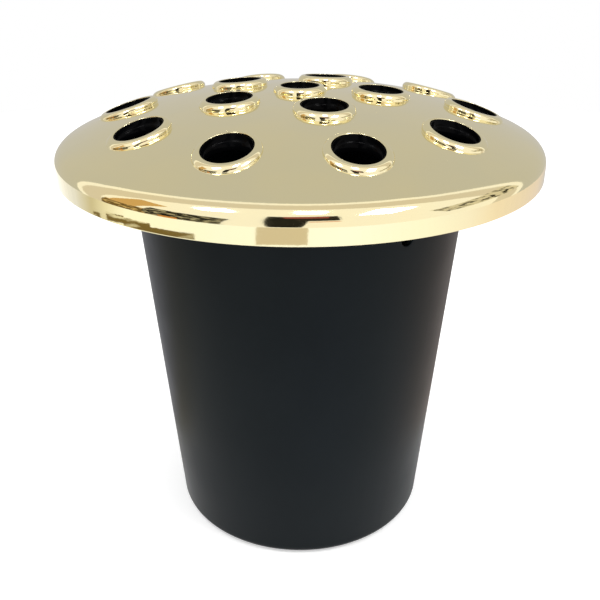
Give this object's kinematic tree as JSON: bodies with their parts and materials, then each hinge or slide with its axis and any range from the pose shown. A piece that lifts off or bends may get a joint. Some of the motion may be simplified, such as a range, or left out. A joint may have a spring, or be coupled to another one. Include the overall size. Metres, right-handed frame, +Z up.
{
  "type": "flower frog",
  "caption": "Tapered black liner with a broad brim, under a domed mirror-gold cap whose raised-collar holes hold cut stems apart; the cap lifts straight off.",
  "frame": {"origin": "centre of the pot's base, on the plane it stands on", "axes": "+Z up through the middle stem hole, front of the object towards -Y, +X to the right seen from the front"},
  "size_m": [0.165, 0.165, 0.1613],
  "materials": {
    "pot_plastic": "satin black moulded plastic with a faint blue tone",
    "cap_plastic": "gloss black moulded plastic",
    "gold_cover": "mirror-bright pale gold, anodised or plated"
  },
  "bodies": {
    "pot": {"pot": "pot_plastic"},
    "lid": {"frog_insert": "cap_plastic", "lid_cover": "gold_cover"}
  },
  "joints": [
    {"name": "lid_lift", "type": "slide", "parent": "pot", "child": "lid", "axis": [0, 0, 1], "range_m": [0, 0.08]}
  ]
}
